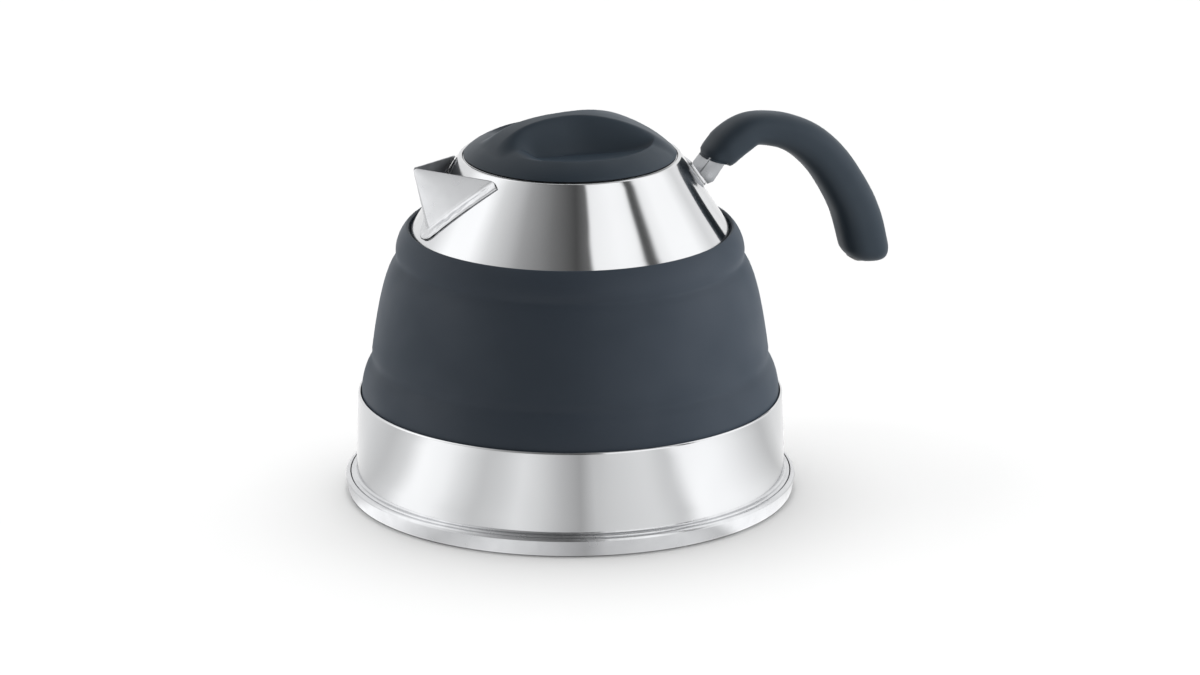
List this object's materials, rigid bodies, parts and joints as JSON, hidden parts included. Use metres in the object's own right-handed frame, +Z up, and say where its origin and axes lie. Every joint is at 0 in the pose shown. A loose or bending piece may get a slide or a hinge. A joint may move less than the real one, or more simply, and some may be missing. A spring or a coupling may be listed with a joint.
{
  "type": "collapsible kettle",
  "caption": "Camping kettle whose banded silicone wall folds so that the steel collar, with spout and hooked handle, sinks into the steel pan; push-in lid with a finger crest.",
  "frame": {"origin": "centre of the flat underside that the kettle stands on", "axes": "+Z up, along the axis of the round body and of the collapse; +X from the axis to the handle; the spout points to -X"},
  "size_m": [0.2527, 0.2, 0.1729],
  "materials": {
    "polished_steel": "polished stainless steel sheet",
    "satin_steel": "plain stainless steel",
    "aluminium_core": "plain aluminium",
    "silicone": "matt navy-grey silicone",
    "soft_touch": "matt navy-grey soft skin",
    "hard_plastic": "black moulded plastic",
    "seal_silicone": "grey silicone"
  },
  "bodies": {
    "base": {"base_cap": "polished_steel", "heat_disc": "aluminium_core", "base_pan": "polished_steel", "silicone_wall": "silicone", "lower_retaining_ring": "satin_steel"},
    "collar": {"upper_retaining_ring": "satin_steel", "collar_cone": "polished_steel", "mouth_ring": "polished_steel", "spout": "polished_steel", "handle_mount_plate": "polished_steel", "handle_bracket": "polished_steel", "handle_tang": "satin_steel", "grip_core": "hard_plastic", "grip_sleeve": "soft_touch"},
    "lid": {"lid_cover": "soft_touch", "lid_plug": "hard_plastic", "lid_seal": "seal_silicone", "lid_screw_1": "satin_steel", "lid_screw_2": "satin_steel", "lid_screw_3": "satin_steel"}
  },
  "joints": [
    {"name": "collapse", "type": "slide", "parent": "base", "child": "collar", "axis": [0, 0, -1], "range_m": [0, 0.08], "deforming": ["silicone_wall"]},
    {"name": "lid_lift", "type": "slide", "parent": "collar", "child": "lid", "axis": [0, 0, 1], "range_m": [0, 0.06]}
  ]
}
